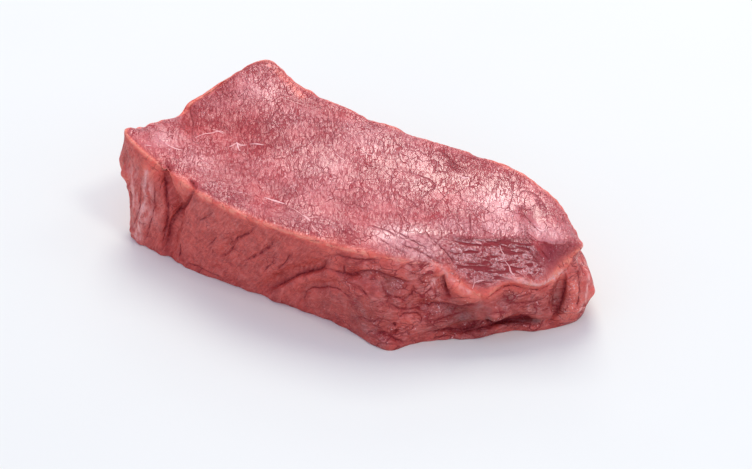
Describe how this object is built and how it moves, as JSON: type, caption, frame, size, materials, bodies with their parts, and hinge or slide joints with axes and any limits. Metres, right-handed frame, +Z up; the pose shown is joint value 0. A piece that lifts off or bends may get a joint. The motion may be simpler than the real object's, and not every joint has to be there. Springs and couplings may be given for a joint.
{
  "type": "beef tenderloin",
  "caption": "Thick raw slab of boneless beef, cut square at one end and tapering to a folded tip, lying on its flat underside.",
  "frame": {"origin": "middle of the piece's bounding box, on the flat underside that it lies on", "axes": "+X along the length towards the folded tip, +Y across it towards the far long side, +Z up out of the cut top face"},
  "size_m": [0.1934, 0.0902, 0.0454],
  "materials": {
    "beef": "moist raw meat with a satin sheen"
  },
  "bodies": {
    "root": {"tenderloin": "beef"}
  },
  "joints": []
}
